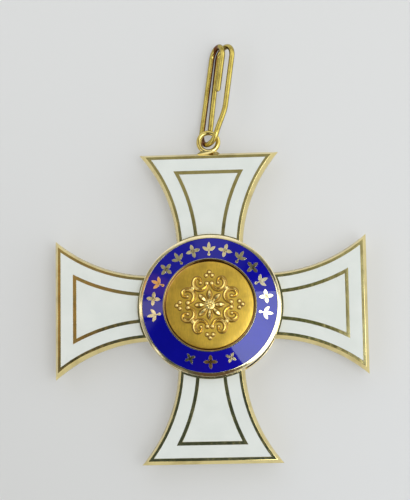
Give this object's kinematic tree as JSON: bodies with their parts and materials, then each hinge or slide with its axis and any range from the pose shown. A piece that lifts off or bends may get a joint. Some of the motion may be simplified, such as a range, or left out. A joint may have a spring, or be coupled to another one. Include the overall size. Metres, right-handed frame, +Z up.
{
  "type": "order cross",
  "caption": "Flared gold neck cross with white enamel arms, round medallions with a blue enamel ring, and a hinged wire loop for a ribbon.",
  "frame": {"origin": "centre of the back disc's flat face, on which the cross lies, below the cross's centre", "axes": "+Z up, out of the front face; +Y along the upper arm towards the eye and ribbon loop; +X towards the right arm seen from the front"},
  "size_m": [0.0524, 0.0719, 0.0065],
  "materials": {
    "frame_gold": "polished pale yellow gold, lightly toned",
    "satin_gold": "fine matt gold field with polished relief",
    "wire_gold": "drawn gold wire with brown toning inside",
    "white_enamel": "glossy opaque white enamel",
    "blue_enamel": "glossy opaque royal blue enamel"
  },
  "bodies": {
    "cross": {"cross_frame": "frame_gold", "front_band_top": "white_enamel", "front_band_right": "white_enamel", "front_band_bottom": "white_enamel", "front_band_left": "white_enamel", "front_panel_top": "white_enamel", "front_panel_right": "white_enamel", "front_panel_bottom": "white_enamel", "front_panel_left": "white_enamel", "back_band_top": "white_enamel", "back_band_right": "white_enamel", "back_band_bottom": "white_enamel", "back_band_left": "white_enamel", "back_panel_top": "white_enamel", "back_panel_right": "white_enamel", "back_panel_bottom": "white_enamel", "back_panel_left": "white_enamel", "front_setting": "frame_gold", "front_ring_enamel": "blue_enamel", "front_disc": "satin_gold", "back_setting": "frame_gold", "back_ring_enamel": "blue_enamel", "back_disc": "satin_gold"},
    "loop": {"ribbon_loop": "wire_gold"}
  },
  "joints": [
    {"name": "ribbon_loop_swing", "type": "hinge", "parent": "cross", "child": "loop", "pos_m": [0.00015, 0.02994, 0.0029], "axis": [0.7535, -0.143, -0.6417], "range_deg": [0, 90]}
  ]
}
